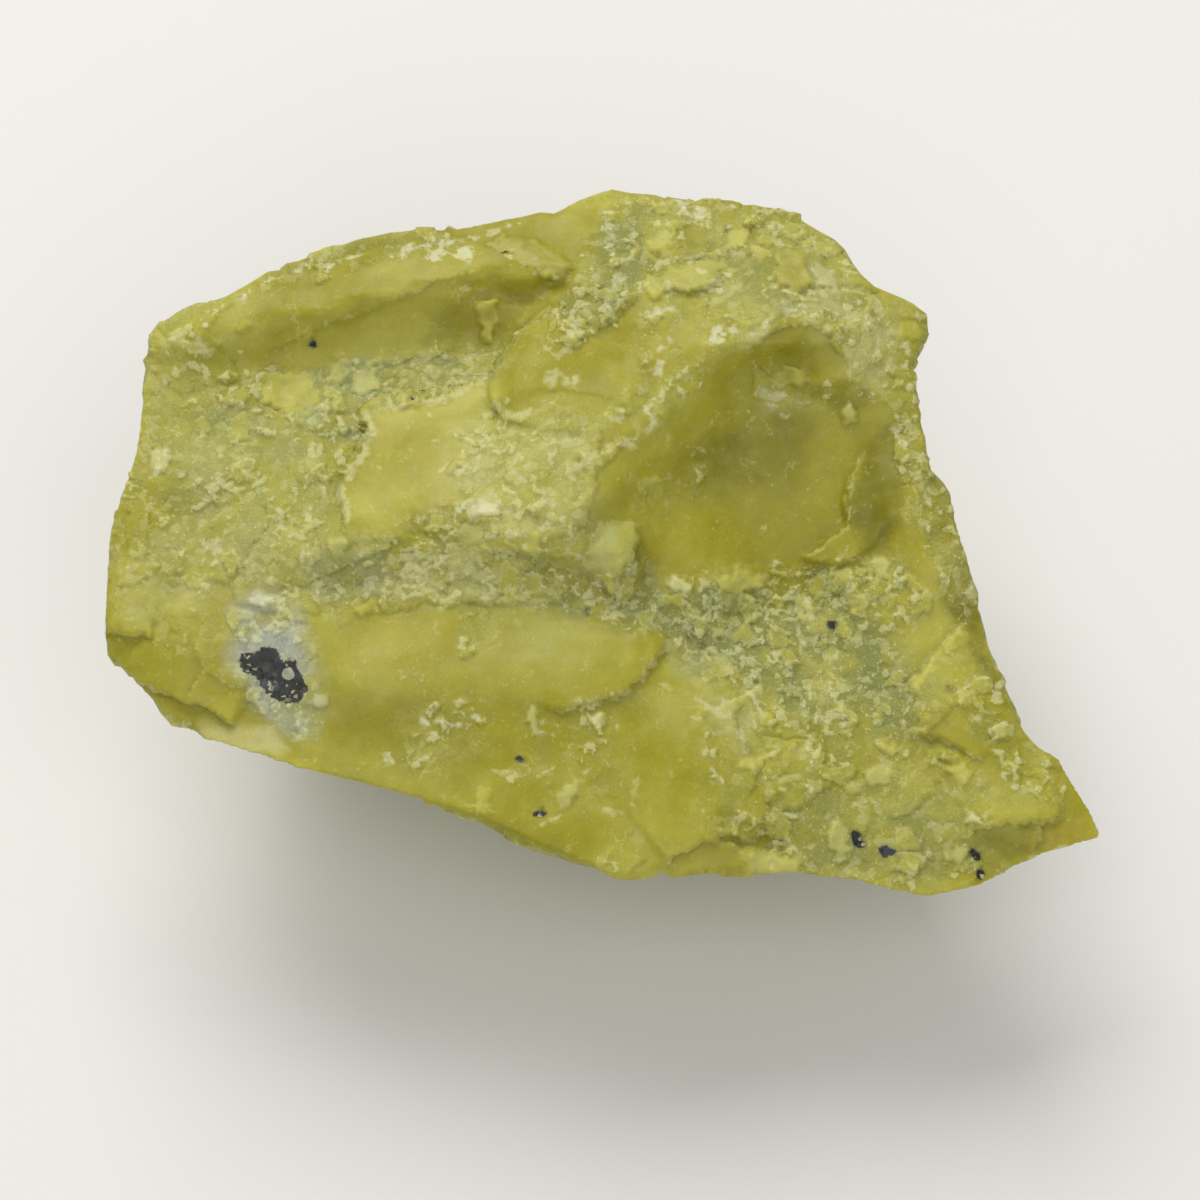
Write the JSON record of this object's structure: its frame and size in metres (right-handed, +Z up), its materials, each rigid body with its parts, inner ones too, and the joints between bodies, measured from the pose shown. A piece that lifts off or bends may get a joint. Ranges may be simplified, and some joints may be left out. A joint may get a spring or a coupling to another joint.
{
  "type": "serpentine rock",
  "caption": "Hand specimen of rough serpentine rock with a broad stepped fracture face, undercut edges and a flat resting spot.",
  "frame": {"origin": "centre of the bounding box in plan, on the surface that the rock rests on", "axes": "+Z up as the rock rests, +X to the right along its longest extent, +Y from the low front edge to the high back edge"},
  "size_m": [0.038, 0.0274, 0.0187],
  "materials": {
    "serpentine": "waxy, with granular bruises"
  },
  "bodies": {
    "root": {"rock": "serpentine"}
  },
  "joints": []
}
